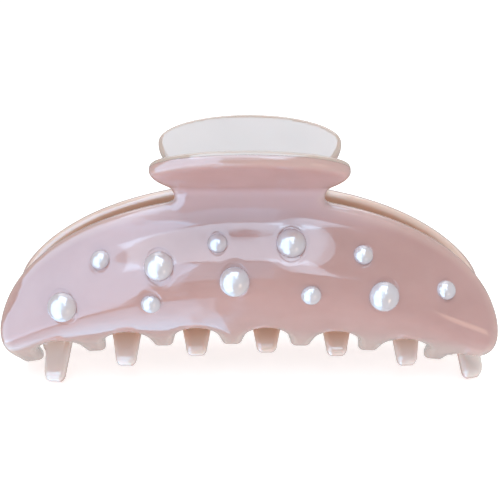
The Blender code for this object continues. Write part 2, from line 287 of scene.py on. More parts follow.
@dataclass(frozen=True)
class LaminatedAcetate:
    """Polished acetate sheet: a rosy, slightly see-through layer bonded to a cream one.

    Heights are millimetres from the hinge axis, at rest. A pair of numbers says where a mask
    is 0 and where it is 1.
    """

    rosy: Color = (0.535, 0.345, 0.335)
    rosy_deep: Color = (0.50, 0.315, 0.305)
    beige: Color = (0.70, 0.56, 0.52)
    cream: Color = (0.61, 0.515, 0.465)
    cream_shade: Color = (0.58, 0.49, 0.44)
    # The cream layer lit and in shade: a painted-light pale cream at the tooth tips, then a painted peach
    # shade inside the mouth.
    tip_cream: Color = (0.86, 0.79, 0.77)
    peach: Color = (0.77, 0.515, 0.395)
    # A painted highlight along the cream layer's rim.
    rim_cream: Color = (0.86, 0.73, 0.68)
    # A painted lilac reflection across the neck's bend.
    bend_haze: Color = (0.67, 0.50, 0.55)
    glue_line: Point = (0.388, 0.412)
    tooth_fade: Point = (-28.5, -35.0)
    # Heights where the painted peach shade takes over from the handle's cream, and where it gives way to
    # the painted-light tips.
    peach_top: Point = (1.0, -3.0)
    peach_foot: Point = (-37.0, -31.0)
    # Heights of the painted reflection's band at the neck's bend.
    reflection_top: Point = (3.0, 1.2)
    reflection_foot: Point = (-8.0, -1.0)
    rim_foot: Point = (-27.0, -23.0)
    rim_light: Point = (0.7, 1.5)
    # Edge distances of the painted beige glow along the rosy layer's edges.
    rim_glow: Point = (0.3, 2.6)
    bottom_band: Point = (1.5, 2.0)
    haze_strength: float = 0.85
    tooth_strength: float = 0.6
    glow_strength: float = 0.35
    band_strength: float = 0.7
    rim_strength: float = 0.75
    cloud_size: float = 14.0
    mottle_size: float = 9.0
    wave_size: float = 15.0
    wave_depth: float = 0.75
    ripple_size: float = 4.5
    ripple_depth: float = 0.06
    scratch_size: float = 0.35

    def material(self, hinge_z: float) -> bpy.types.Material:
        """Builds the material.

        Args:
            hinge_z: The hinge axis's height in metres, which the heights are measured from.

        Returns:
            The material.
        """
        paint = Paint("laminated_acetate")
        outer = paint.attribute("layer").between(*self.glue_line)
        edge = paint.attribute("edge_distance")
        height = paint.along("Z") * (1.0 / MM) - hinge_z / MM
        teeth = height.between(*self.tooth_fade)
        color = paint.blend(outer, self.inner(paint, edge, height), self.outer(paint, edge, height, teeth))
        polish = paint.noise(self.scratch_size, 3.0, 0.6).between(0.35, 0.8)
        formed = outer * (1.0 - teeth)
        ripples = paint.bump(paint.noise(self.ripple_size, 1.0, 0.4) * formed, self.ripple_depth)
        waves = paint.bump(paint.noise(self.wave_size, 1.0, 0.4) * formed, self.wave_depth, ripples)
        return paint.finish(
            Base_Color=color,
            Roughness=0.10 + 0.05 * polish,
            Normal=waves,
            IOR=1.49,
            Subsurface_Weight=0.22,
            Subsurface_Radius=(1.0, 0.5, 0.4),
            Subsurface_Scale=1.6 * MM,
            Coat_Weight=0.85,
            Coat_Roughness=0.03,
        )

    def inner(self, paint: Paint, edge: Wire, height: Wire) -> Wire:
        """The cream layer: pale on the handle, with painted light and shade below it: a painted highlight
        on the rim, and a painted peach shade inside the mouth that fades to painted-light cream at the
        tooth tips.

        Args:
            paint: The material under construction.
            edge: How far each point lies from the sheet's edge, in millimetres.
            height: How high it lies above the hinge axis, in millimetres.

        Returns:
            Its colour.
        """
        clouds = paint.noise(self.cloud_size, 2.0).between(0.35, 0.7)
        cream = paint.blend(clouds, self.cream, self.cream_shade)
        # Painted shade: peach inside the mouth, fading to a painted pale, lit cream at the tooth tips.
        mouth = paint.blend(height.between(*self.peach_foot), self.tip_cream, self.peach)
        # Painted highlight: a paler cream along the rim's edge, above the teeth.
        rim = (1.0 - edge.between(*self.rim_light)) * height.between(*self.rim_foot)
        mouth = paint.blend(rim * self.rim_strength, mouth, self.rim_cream)
        return paint.blend(height.between(*self.peach_top), cream, mouth)

    def outer(self, paint: Paint, edge: Wire, height: Wire, teeth: Wire) -> Wire:
        """The rosy layer: a painted reflection at the neck's bend, a painted beige glow round its rim, and
        beige towards the teeth and along their edges.

        Args:
            paint: The material under construction.
            edge: How far each point lies from the sheet's edge, in millimetres.
            height: How high it lies above the hinge axis, in millimetres.
            teeth: A mask that is 1 on the teeth.

        Returns:
            Its colour.
        """
        mottle = paint.noise(self.mottle_size, 3.0).between(0.3, 0.75)
        rosy = paint.blend(mottle, self.rosy, self.rosy_deep)
        # Painted reflection: a pale lilac band across the neck's bend.
        reflection_band = height.between(*self.reflection_top) * height.between(*self.reflection_foot)
        # Painted glow: beige along the rosy layer's edges.
        glow = 1.0 - edge.between(*self.rim_glow)
        band = (1.0 - edge.between(*self.bottom_band)) * teeth
        rosy = paint.blend(reflection_band * self.haze_strength, rosy, self.bend_haze)
        rosy = paint.blend(teeth * self.tooth_strength, rosy, self.beige)
        rosy = paint.blend(glow * self.glow_strength, rosy, self.beige)
        return paint.blend(band * self.band_strength, rosy, self.beige)


@dataclass(frozen=True)
class CreamAcetate:
    """The knuckles' plain cream acetate, sawn and lightly tumbled."""

    base: Color = (0.80, 0.72, 0.67)
    shade: Color = (0.73, 0.64, 0.58)

    def material(self) -> bpy.types.Material:
        """Builds the material.

        Returns:
            The material.
        """
        paint = Paint("cream_acetate")
        cloud = paint.noise(2.2, 3.0)
        grain = paint.noise(0.22, 3.0, 0.6)
        color = paint.blend(cloud.between(0.35, 0.7), self.base, self.shade)
        return paint.finish(
            Base_Color=color,
            Roughness=0.24 + 0.14 * grain,
            Normal=paint.bump(grain, 0.012),
            IOR=1.49,
            Subsurface_Weight=0.2,
            Subsurface_Radius=(1.0, 0.6, 0.5),
            Subsurface_Scale=1.0 * MM,
        )


@dataclass(frozen=True)
class Nacre:
    """A pearl's lacquered nacre: white, with faint clouds of lilac and peach."""

    white: Color = (0.69, 0.685, 0.745)
    lilac: Color = (0.61, 0.59, 0.69)
    peach: Color = (0.75, 0.63, 0.57)

    def material(self) -> bpy.types.Material:
        """Builds the material.

        Returns:
            The material.
        """
        paint = Paint("nacre")
        clouds = paint.noise(3.2, 2.0)
        drift = paint.noise(5.5, 1.0)
        orient = paint.blend(drift.between(0.35, 0.65), self.lilac, self.peach)
        color = paint.blend(clouds.between(0.35, 0.8) * 0.55, self.white, orient)
        rim = paint.node("ShaderNodeLayerWeight", {}, {"Blend": 0.35}, "Facing")
        color = paint.blend(rim * 0.5, color, self.lilac)
        skin = paint.noise(0.5, 3.0, 0.6)
        return paint.finish(
            Base_Color=color,
            Metallic=0.18 + 0.06 * clouds,
            Roughness=0.19 + 0.04 * skin,
            Normal=paint.bump(skin, 0.0012),
            Coat_Weight=0.8,
            Coat_Roughness=0.08,
            IOR=1.55,
        )


@dataclass(frozen=True)
class Steel:
    """Bright steel: plated pins, or drawn wire with marks that run along X."""

    name: str
    base: Color
    roughness: float
    mark_size: float

    def material(self) -> bpy.types.Material:
        """Builds the material.

        Returns:
            The material.
        """
        paint = Paint(self.name)
        marks = paint.noise(self.mark_size, 4.0, 0.65)
        tarnish = paint.noise(3.0, 2.0)
        dulled = tuple(0.82 * value for value in self.base)
        return paint.finish(
            Base_Color=paint.blend(tarnish.between(0.4, 0.75) * 0.6, self.base, dulled),
            Metallic=1.0,
            Roughness=self.roughness + 0.16 * marks,
            Normal=paint.bump(marks, 0.006),
        )


@dataclass(frozen=True)
class StudioPaper:
    """The pale floor, lit a little from within so that it stays white."""

    base: Color = (0.93, 0.93, 0.93)
    glow: float = 0.50

    def material(self) -> bpy.types.Material:
        """Builds the material.

        Returns:
            The material.
        """
        paint = Paint("studio_paper")
        tooth = paint.noise(2.0, 3.0)
        return paint.finish(
            Base_Color=self.base,
            Roughness=0.85 + 0.1 * tooth,
            Emission_Color=(1.0, 1.0, 1.0),
            Emission_Strength=self.glow,
            Specular_IOR_Level=0.2,
        )


# ---------------------------------------------------------------------------------------
# Modelling tools


def deselect_all() -> None:
    """Leaves nothing selected, so that an operator acts only on what is picked next."""
    for other in bpy.context.view_layer.objects:
        other.select_set(False)


def make_active(thing: bpy.types.Object) -> None:
    """Selects one object alone.

    Args:
        thing: The object to select.
    """
    deselect_all()
    thing.select_set(True)
    bpy.context.view_layer.objects.active = thing


def edit(thing: bpy.types.Object, mode: str = "FACE") -> bmesh.types.BMesh:
    """Opens an object in edit mode with nothing selected.

    Args:
        thing: The mesh object.
        mode: What is picked: VERT, EDGE or FACE.

    Returns:
        Its mesh as edit mode sees it.
    """
    make_active(thing)
    bpy.ops.object.mode_set(mode="EDIT")
    bpy.ops.mesh.select_mode(type=mode)
    bpy.ops.mesh.select_all(action="DESELECT")
    return bmesh.from_edit_mesh(thing.data)


def leave_edit() -> None:
    """Goes back to object mode."""
    bpy.ops.object.mode_set(mode="OBJECT")


def pick_faces(thing: bpy.types.Object, wanted: Callable[[bmesh.types.BMFace], bool]) -> int:
    """Selects the faces that a test accepts, in edit mode.

    Args:
        thing: The object in edit mode.
        wanted: A test of one face.

    Returns:
        How many were selected.
    """
    bm = bmesh.from_edit_mesh(thing.data)
    bm.normal_update()
    count = 0
    for face in bm.faces:
        chosen = wanted(face)
        face.select_set(chosen)
        count += chosen
    bm.select_flush_mode()
    bmesh.update_edit_mesh(thing.data)
    return count


def cut_slab(name: str, outlines: list[list[Point]], thickness: float, edge_round: float,
             round_steps: int) -> bpy.types.Object:
    """Cuts a flat slab with rounded edges; an outline inside another is a hole.

    Args:
        name: The new object's name.
        outlines: Closed outlines, in millimetres.
        thickness: The slab's thickness.
        edge_round: The radius of its edges.
        round_steps: How finely the edges are rounded.

    Returns:
        The slab, a mesh in millimetres that lies flat around height 0.
    """
    curve = bpy.data.curves.new(name, "CURVE")
    curve.dimensions = "2D"
    curve.fill_mode = "BOTH"
    curve.extrude = thickness / 2 - edge_round
    curve.bevel_depth = edge_round
    curve.bevel_resolution = round_steps
    curve.offset = -edge_round
    for outline in outlines:
        spline = curve.splines.new("POLY")
        spline.points.add(len(outline) - 1)
        spline.use_cyclic_u = True
        for point, (x, y) in zip(spline.points, outline):
            point.co = (x, y, 0.0, 1.0)
    slab = bpy.data.objects.new(name, curve)
    bpy.context.scene.collection.objects.link(slab)
    make_active(slab)
    bpy.ops.object.convert(target="MESH")
    slab = bpy.context.object
    edit(slab)
    bpy.ops.mesh.select_all(action="SELECT")
    bpy.ops.mesh.remove_doubles(threshold=MERGE_MM * 10)
    bpy.ops.mesh.normals_make_consistent(inside=False)
    leave_edit()
    return slab


def turn_profile(name: str, profile: list[Point], steps: int) -> bpy.types.Object:
    """Turns a profile about Z, as on a lathe.

    Args:
        name: The new object's name.
        profile: Points of (radius, height) in millimetres, from axis to axis, or a closed ring.
        steps: How many facets go round.

    Returns:
        The turned mesh, in millimetres.
    """
    ring = profile[0][0] > 0.0
    count = len(profile)
    edges = [(i, i + 1) for i in range(count - 1)] + ([(count - 1, 0)] if ring else [])
    mesh = bpy.data.meshes.new(name)
    mesh.from_pydata([(radius, 0.0, height) for radius, height in profile], edges, [])
    turned = bpy.data.objects.new(name, mesh)
    bpy.context.scene.collection.objects.link(turned)
    edit(turned, "VERT")
    bpy.ops.mesh.select_all(action="SELECT")
    bpy.ops.mesh.spin(steps=steps, angle=2 * math.pi, center=(0, 0, 0), axis=(0, 0, 1))
    bpy.ops.mesh.select_all(action="SELECT")
    bpy.ops.mesh.remove_doubles(threshold=MERGE_MM)
    bpy.ops.mesh.normals_make_consistent(inside=False)
    leave_edit()
    return turned


def settle(piece: bpy.types.Object, place: Matrix, smooth_angle: float | None = 40.0) -> None:
    """Puts a mesh made in millimetres where it belongs, in metres, with its object at the origin.

    Args:
        piece: The mesh object.
        place: Where it goes, in metres; it scales nothing.
        smooth_angle: Edges sharper than this stay sharp, in degrees; None leaves shading alone.
    """
    piece.data.transform(place @ Matrix.Scale(MM, 4))
    piece.matrix_world = Matrix.Identity(4)
    if smooth_angle is not None:
        make_active(piece)
        bpy.ops.object.shade_smooth_by_angle(angle=math.radians(smooth_angle))


def dress(piece: bpy.types.Object, material: bpy.types.Material) -> None:
    """Gives a piece its material.

    Args:
        piece: The mesh object.
        material: Its finish.
    """
    piece.data.materials.clear()
    piece.data.materials.append(material)


def report(piece: bpy.types.Object, body: str) -> None:
    """Logs one finished piece."""
    log.info("%s rides on %s with %d faces", piece.name, body, len(piece.data.polygons))


def arc(center: Point, radii: Point, start: float, stop: float, steps: int) -> list[Point]:
    """Points along an ellipse's arc.

    Args:
        center: The ellipse's centre.
        radii: Its two radii.
        start: The first angle, in degrees.
        stop: The last angle.
        steps: How many steps lie between them.

    Returns:
        The points.
    """
    angles = [math.radians(start + (stop - start) * i / steps) for i in range(steps + 1)]
    return [(center[0] + radii[0] * math.cos(a), center[1] + radii[1] * math.sin(a)) for a in angles]


def bezier(start: Point, pull: Point, end_pull: Point, end: Point, steps: int) -> list[Point]:
    """Points along a cubic curve.

    Args:
        start: Its first point.
        pull: The handle of the first point.
        end_pull: The handle of the last point.
        end: Its last point.
        steps: How many steps lie between them.

    Returns:
        The points.
    """
    points = []
    for i in range(steps + 1):
        t = i / steps
        weights = ((1 - t) ** 3, 3 * t * (1 - t) ** 2, 3 * t * t * (1 - t), t**3)
        corners = (start, pull, end_pull, end)
        points.append(tuple(sum(w * c[k] for w, c in zip(weights, corners)) for k in (0, 1)))
    return points


def ease(u: np.ndarray) -> np.ndarray:
    """Runs from 0 to 1 as u does, with no bend at either end."""
    u = np.clip(u, 0.0, 1.0)
    return u**3 * (6 * u * u - 15 * u + 10)


# ---------------------------------------------------------------------------------------
# The jaw: its formed sheet, its flat blank, and the finished piece


@dataclass(frozen=True)
class FormedSheet:
    """The curved sheet that a blank is heat-formed to, measured from the hinge axis."""

    hinge_z: float
    thickness: float = 3.0
    neck_offset: float = 4.8
    bulge: float = 9.5
    bulge_reach: float = 18.0
    shoulder_drop: float = 0.0061
    curl_start: float = -18.4
    curl_drop: float = 0.0042
    curl_slope_rise: float = 0.6
    curl_softness: float = 3.0
    neck_bend_radius: float = 4.73
    handle_lean: float = math.radians(53.0)
    half_length: float = 51.0

    def body_offset(self, x: np.ndarray, z: np.ndarray) -> np.ndarray:
        """How far out the sheet's middle lies below the hinge: bulging, then curling in.

        Args:
            x: Places along the clip, in millimetres.
            z: Heights from the hinge axis.

        Returns:
            The offsets from the hinge axis.
        """
        below_shoulder = -self.shoulder_drop * x * x - z
        below_curl = self.curl_start - self.curl_drop * x * x - z
        bulge = self.bulge * ease(below_shoulder / self.bulge_reach)
        slope = 1.0 + self.curl_slope_rise * (x / self.half_length) ** 2
        curl = slope * self.curl_softness * np.log1p(np.exp(below_curl / self.curl_softness))
        return self.neck_offset + bulge - curl

    def middle(self, x: np.ndarray, s: np.ndarray) -> np.ndarray:
        """The sheet's middle at points of the blank, as rows of (x, outward, up).

        Args:
            x: Places along the clip, in millimetres.
            s: How far up the blank they lie from the hinge line.

        Returns:
            The points, measured from the hinge axis.
        """
        above = np.maximum(s, 0.0)
        turn = np.minimum(above / self.neck_bend_radius, self.handle_lean)
        straight = above - self.neck_bend_radius * turn
        out = self.neck_bend_radius * (1 - np.cos(turn)) + straight * np.sin(turn)
        up = self.neck_bend_radius * np.sin(turn) + straight * np.cos(turn)
        outward = np.where(s <= 0.0, self.body_offset(x, s), self.neck_offset + out)
        return np.stack([x, outward, np.where(s <= 0.0, s, up)], axis=-1)

    def place(self, flat: np.ndarray) -> np.ndarray:
        """Forms points of the blank.

        Args:
            flat: Rows of (x, s, height above the sheet's middle), in millimetres.

        Returns:
            Rows of (x, y, z) from the hinge axis, in millimetres, for the half that faces -Y.
        """
        x, s, height = flat.T
        step = 0.01
        along = self.middle(x + step, s) - self.middle(x - step, s)
        rising = self.middle(x, s + step) - self.middle(x, s - step)
        normal = np.cross(rising, along)
        normal /= np.linalg.norm(normal, axis=1, keepdims=True)
        point = self.middle(x, s) + height[:, None] * normal
        return point * np.array([1.0, -1.0, 1.0])

    def turn_normals(self, flat: np.ndarray, normals: np.ndarray) -> np.ndarray:
        """What the blank's normals become when it is formed.

        Args:
            flat: Points of the blank, as for place.
            normals: The blank's normals there.

        Returns:
            Unit normals of the formed sheet.
        """
        step = 0.02
        columns = []
        for axis in range(3):
            shift = np.zeros(3)
            shift[axis] = step
            columns.append((self.place(flat + shift) - self.place(flat - shift)) / (2 * step))
        d_x, d_s, d_h = columns
        turned = (normals[:, :1] * np.cross(d_s, d_h) + normals[:, 1:2] * np.cross(d_h, d_x)
                  + normals[:, 2:] * np.cross(d_x, d_s))
        return turned / np.linalg.norm(turned, axis=1, keepdims=True)

    def seat(self, x: float, s: float, height: float, side: Side) -> Matrix:
        """A place on a half, in metres, with +Z along the sheet's outward normal.

        Args:
            x: The place along the clip, in millimetres.
            s: How far up the blank it lies.
            height: How far it stands above the sheet's middle.
            side: The half.

        Returns:
            The place as a matrix.
        """
        points = self.place(np.array([[x, s, height], [x, s, height + 1.0]]))
        here, there = (Vector(p) for p in points)
        turn = (there - here).to_track_quat("Z", "Y").to_matrix().to_4x4()
        return self.half_matrix(side) @ Matrix.Translation(here * MM) @ turn

    def half_matrix(self, side: Side) -> Matrix:
        """Turns a half round the vertical if it is the rear one, and lifts it to the hinge."""
        turn = 0.0 if side is Side.FRONT else math.pi
        return Matrix.Translation((0, 0, self.hinge_z)) @ Matrix.Rotation(turn, 4, "Z")


@dataclass(frozen=True)
class Blank:
    """The flat outline that both jaws are cut from: x along the clip, s up from the hinge."""

    handle_half_width: float = 19.5
    handle_widest: float = 9.6
    handle_top: float = 17.0
    neck_half_width: float = 15.1
    shoulder_foot: float = 17.2
    half_length: float = 51.0
    widest: float = -28.0
    top: float = 0.1
    tooth_pitch: float = 15.1
    tooth_count: int = 7
    tooth_root: float = 2.75
    tooth_tip: float = 2.3
    first_inset: float = 1.0
    tip_round: float = 1.3
    tip_line: float = -35.6
    tip_drop: float = 0.0025
    notch_line: float = -28.4
    notch_drop: float = 0.0017
    notch_flank: float = 18.0
    throat: float = -0.2
    throat_pulls: tuple[Point, Point] = ((16.0, -1.3), (15.1, -1.0))
    neck_pull: float = 2.8
    flare_pull: float = 5.0
    left_pull: float = -31.0
    left_foot: tuple[Point, Point] = ((-0.4, -33.0), (0.0, -37.0))
    tail_foot: float = -35.2
    tail: tuple[Point, ...] = ((0.2, -2.2), (0.4, -1.5), (1.2, -1.5), (1.0, 0.0), (2.2, 0.0))
    right_pulls: tuple[Point, ...] = ((-2.6, -35.2), (-0.6, -35.2), (0.0, -32.0))

    def tooth_x(self, index: int) -> float:
        """Where a tooth stands; the row sits a quarter pitch off centre."""
        inset = self.first_inset if index == 0 else 0.0
        return (index - (self.tooth_count - 1) / 2 - 0.25) * self.tooth_pitch + inset

    def from_middle(self, x: float) -> float:
        """How far x lies from the middle tooth."""
        return x - self.tooth_x((self.tooth_count - 1) // 2)

    def upper_edge(self) -> list[Point]:
        """The right side from the end of the body up to the middle of the handle's top.

        Returns:
            The points.
        """
        rise = self.top - self.widest
        start = math.degrees(math.acos(self.shoulder_foot / self.half_length))
        body = arc((0, self.widest), (self.half_length, rise), 0, start, 60)
        throat = (self.neck_half_width, self.throat)
        flare = (self.handle_half_width, self.handle_widest)
        flank_pulls = ((self.neck_half_width, self.neck_pull), (self.handle_half_width, self.flare_pull))
        notch = bezier(body[-1], *self.throat_pulls, throat, 8)
        flank = bezier(throat, *flank_pulls, flare, 18)
        crown_radii = (self.handle_half_width, self.handle_top - self.handle_widest)
        crown = arc((0, self.handle_widest), crown_radii, 0, 90, 36)
        return body + notch[1:] + flank[1:] + crown[1:]

    def tooth(self, index: int) -> list[Point]:
        """One tooth's tip, from its left side to its right.

        Args:
            index: Its number, from the left.

        Returns:
            The points.
        """
        x = self.tooth_x(index)
        corner = self.tip_line - self.tip_drop * self.from_middle(x) ** 2 + self.tip_round
        inset = self.tooth_tip - self.tip_round
        radii = (self.tip_round, self.tip_round)
        left = arc((x - inset, corner), radii, 180, 270, 8)
        return left + arc((x + inset, corner), radii, 270, 360, 8)

    def notch(self, index: int) -> list[Point]:
        """The round-topped notch to the right of a tooth.

        Args:
            index: The tooth's number, from the left.

        Returns:
            The points.
        """
        x = (self.tooth_x(index) + self.tooth_x(index + 1)) / 2
        radius = (self.tooth_x(index + 1) - self.tooth_x(index)) / 2 - self.tooth_root
        crown = self.notch_line - self.notch_drop * self.from_middle(x) ** 2
        return arc((x, crown - radius), (radius, radius), 180 - self.notch_flank, self.notch_flank, 24)

    def lower_edge(self) -> list[Point]:
        """The toothed edge, from the body's left end to its right.

        Returns:
            The points.
        """
        first = self.tooth_x(0) - self.tooth_tip
        last = self.tooth_x(self.tooth_count - 1) + self.tooth_tip
        end = self.half_length
        left_foot = [(first + x, s) for x, s in self.left_foot]
        points = bezier((-end, self.widest), (-end, self.left_pull), *left_foot, 14)[1:]
        for index in range(self.tooth_count):
            points += self.tooth(index)
            if index < self.tooth_count - 1:
                points += self.notch(index)
        heel, *steps = [(last + x, self.tail_foot + s) for x, s in self.tail]
        points.append(heel)
        points += bezier(*steps, 10)
        end_pulls = [(end + x, s) for x, s in self.right_pulls]
        points += bezier(*end_pulls, (end, self.widest), 14)[:-1]
        return points

    def outline(self) -> list[Point]:
        """The whole outline, anticlockwise.

        Returns:
            The points.
        """
        right = self.upper_edge()
        left = [(-x, s) for x, s in reversed(right)]
        return right + left[1:] + self.lower_edge()


@dataclass(frozen=True)
class PearlRow:
    """Where the pearls sit on a blank, and the soft recess round each one."""

    large: tuple[Point, ...] = ((-37.3, -21.3), (-17.8, -13.1), (-2.9, -14.8), (8.2, -9.1), (26.7, -18.2))
    small: tuple[Point, ...] = ((-29.7, -13.1), (-19.7, -19.2), (-6.3, -9.1), (12.3, -17.2),
                                (22.5, -11.6), (39.3, -18.8))
    seat_depth: float = 0.12
    lip_depth: float = 0.03
    wall: float = 0.30
    reach: float = 0.8
    margin: float = 0.4

    def seats(self) -> list[tuple[PearlSize, int, Point]]:
        """Every seat's size, number and place."""
        rows = ((PearlSize.LARGE, self.large), (PearlSize.SMALL, self.small))
        return [(size, number, seat) for size, row in rows for number, seat in enumerate(row, 1)]

    def near(self, x: float, s: float) -> bool:
        """Whether a point of the blank lies in or beside a recess."""
        return any(math.hypot(x - at[0], s - at[1]) < size.value + self.reach + self.margin
                   for size, _, at in self.seats())

    def recess(self, x: np.ndarray, s: np.ndarray) -> np.ndarray:
        """How far the outer face lies below the sheet's own, in millimetres.

        Args:
            x: Places along the clip.
            s: How far up the blank they lie.

        Returns:
            The depth at each place.
        """
        depth = np.zeros_like(x)
        for size, _, at in self.seats():
            outside = np.hypot(x - at[0], s - at[1]) - size.value
            wall = self.seat_depth + (self.lip_depth - self.seat_depth) * ease(outside / self.wall + 1.0)
            lip = wall * (1 - ease(outside / self.reach))
            depth = np.maximum(depth, lip)
        return depth


@dataclass
class Jaw:
    """One heat-formed, tumble-polished jaw, made from the shared blank."""

    sheet: FormedSheet
    blank: Blank
    pearls: PearlRow
    edge_round: float = 1.1
    round_steps: int = 4
    grid: float = 1.0
    recess_cuts: int = 5
    pillow_depth: float = 0.42
    pillow_width: float = 3.0
    flat_reach: float = 0.4
    skin: float = 0.01
    batch: int = 4000
    flat_mesh: bpy.types.Mesh | None = field(default=None, repr=False)
    points: np.ndarray | None = field(default=None, repr=False)
    normals: np.ndarray | None = field(default=None, repr=False)

    def slice_blank(self, slab: bpy.types.Object) -> None:
        """Cuts the blank's faces into a grid, so that it can be formed, and finer at the recesses.

        Args:
            slab: The flat blank.
        """
        edit(slab)
        pick_faces(slab, lambda face: abs(face.normal.z) > 0.99)
        bpy.ops.mesh.dissolve_faces()
        outline = np.array(self.blank.outline())
        low, high = outline.min(0), outline.max(0)
        for axis in (0, 1):
            count = math.ceil((high[axis] - low[axis]) / self.grid)
            normal = [0.0, 0.0, 0.0]
            normal[axis] = 1.0
            for i in range(1, count):
                point = [0.0, 0.0, 0.0]
                point[axis] = float(low[axis] + (high[axis] - low[axis]) * i / count)
                bpy.ops.mesh.select_all(action="SELECT")
                bpy.ops.mesh.bisect(plane_co=point, plane_no=normal, threshold=MERGE_MM)
        top = self.sheet.thickness / 2 - self.skin

        def in_recess(face: bmesh.types.BMFace) -> bool:
            """Whether a face is on the outer side, at a recess."""
            center = face.calc_center_median()
            return center.z > top and self.pearls.near(center.x, center.y)

        pick_faces(slab, in_recess)
        bpy.ops.mesh.subdivide(number_cuts=self.recess_cuts, quadcorner="INNERVERT")
        pick_faces(slab, lambda face: len(face.verts) > 4)
        bpy.ops.mesh.quads_convert_to_tris(quad_method="BEAUTY", ngon_method="BEAUTY")
        leave_edit()

    def edge_distances(self, flat: np.ndarray) -> tuple[np.ndarray, np.ndarray]:
        """How far each point of the blank lies from the outline, and the way that leads from it.

        Args:
            flat: Rows that start with x and s.

        Returns:
            The distances, and unit rows of (x, s).
        """
        corners = np.array(self.blank.outline())
        spans = np.roll(corners, -1, axis=0) - corners
        lengths = np.maximum((spans**2).sum(1), 1e-12)
        distance = np.empty(len(flat))
        away = np.empty((len(flat), 2))
        for first in range(0, len(flat), self.batch):
            rows = slice(first, first + self.batch)
            offset = flat[rows, None, :2] - corners[None]
            share = np.clip((offset * spans).sum(2) / lengths, 0.0, 1.0)
            gap = offset - share[..., None] * spans
            squared = (gap**2).sum(2)
            nearest = squared.argmin(1)
            picked = np.arange(len(nearest))
            distance[rows] = np.sqrt(squared[picked, nearest])
            away[rows] = gap[picked, nearest]
        return distance, away / np.maximum(distance, 1e-6)[:, None]

    def lowered(self, flat: np.ndarray) -> np.ndarray:
        """How far polishing and the pearls' recesses lower each point of the blank's faces.

        Args:
            flat: Rows of (x, s, height), in millimetres.

        Returns:
            The drop at each point.
        """
        height = flat[:, 2]
        distance = self.edge_distances(flat)[0]
        top = self.sheet.thickness / 2
        outer_share = np.clip((height + self.flat_reach) / (top + self.flat_reach), 0.0, 1.0)
        pillow = self.pillow_depth * np.clip(1 - distance / self.pillow_width, 0.0, 1.0) ** 2
        recess = np.where(height > top - self.skin, self.pearls.recess(flat[:, 0], flat[:, 1]), 0.0)
        return pillow * outer_share + recess

    def prepare(self) -> None:
        """Cuts and slices the blank once, for both jaws, and keeps its points and normals."""
        slab = cut_slab("blank", [self.blank.outline()], self.sheet.thickness, self.edge_round,
                        self.round_steps)
        self.slice_blank(slab)
        mesh = slab.data
        mesh.shade_smooth()
        count = len(mesh.vertices)
        flat = np.empty(count * 3)
        mesh.vertices.foreach_get("co", flat)
        normals = np.empty(count * 3)
        mesh.vertex_normals.foreach_get("vector", normals)
        flat, normals = flat.reshape(-1, 3), normals.reshape(-1, 3)
        distance = self.edge_distances(flat)[0]
        step = 0.01
        drop = self.lowered(flat)
        slope = np.stack([(self.lowered(flat + shift) - self.lowered(flat - shift)) / (2 * step)
                          for shift in ((step, 0, 0), (0, step, 0))], axis=1)
        normals[:, :2] += normals[:, 2:] * slope
        normals /= np.linalg.norm(normals, axis=1, keepdims=True)
        lowered = flat - drop[:, None] * np.array([0.0, 0.0, 1.0])
        self.points = self.sheet.place(lowered)
        self.normals = self.sheet.turn_normals(lowered, normals)
        layer = flat[:, 2] / self.sheet.thickness + 0.5
        for name, values in (("layer", layer), ("edge_distance", distance)):
            attribute = mesh.attributes.new(name, "FLOAT", "POINT")
            attribute.data.foreach_set("value", values.astype(np.float32))
        self.flat_mesh = mesh
        bpy.data.objects.remove(slab)

    def build(self, side: Side, material: bpy.types.Material) -> bpy.types.Object:
        """Forms one jaw from the blank.

        Args:
            side: Which half it belongs to.
            material: The laminated acetate.

        Returns:
            The finished jaw.
        """
        name = f"{side.value}_jaw_formed"
        mesh = self.flat_mesh.copy()
        mesh.name = name
        turn = np.array([side.facing, side.facing, 1.0])
        points = self.points * turn * MM + np.array([0.0, 0.0, self.sheet.hinge_z])
        mesh.vertices.foreach_set("co", points.ravel())
        mesh.update()
        mesh.normals_split_custom_set_from_vertices((self.normals * turn).tolist())
        jaw = bpy.data.objects.new(name, mesh)
        bpy.context.scene.collection.objects.link(jaw)
        dress(jaw, material)
        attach(jaw, side.body)
        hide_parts(f"{side.value}_jaw")
        report(jaw, side.body)
        return jaw


@dataclass
class PearlSet:
    """The half-round pearls of one jaw."""

    sheet: FormedSheet
    row: PearlRow
    rise: float = 0.82
    foot: float = -0.62
    eased: float = 0.2

    def model(self, size: PearlSize) -> bpy.types.Object:
        """Turns one pearl: a flat back, a short side and a full dome.

        Args:
            size: Which stock size.

        Returns:
            The pearl, in millimetres, with its back down.
        """
        radius = size.value
        dome = arc((0.0, 0.0), (radius, self.rise * radius), 0, 90, 22)[:-1]
        back = [(0.0, self.foot), (radius - self.eased, self.foot), (radius, self.foot + self.eased)]
        return turn_profile(f"pearl_{size.label}", [*back, *dome, (0.0, self.rise * radius)], 56)

    def build(self, side: Side, models: dict[PearlSize, bpy.types.Object],
              material: bpy.types.Material) -> None:
        """Sets the pearls of one jaw.

        Args:
            side: Which half they belong to.
            models: One finished pearl of each size.
            material: The nacre.
        """
        for size, number, (x, s) in self.row.seats():
            node = f"{side.value}_pearl_{size.label}_{number}"
            pearl = bpy.data.objects.new(f"{node}_nacre", models[size].data.copy())
            bpy.context.scene.collection.objects.link(pearl)
            settle(pearl, self.sheet.seat(x, s, self.sheet.thickness / 2, side), 50.0)
            dress(pearl, material)
            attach(pearl, side.body)
            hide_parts(node)
        log.info("%s pearls set: %d", side.value, len(self.row.seats()))


# ---------------------------------------------------------------------------------------
# The hinge


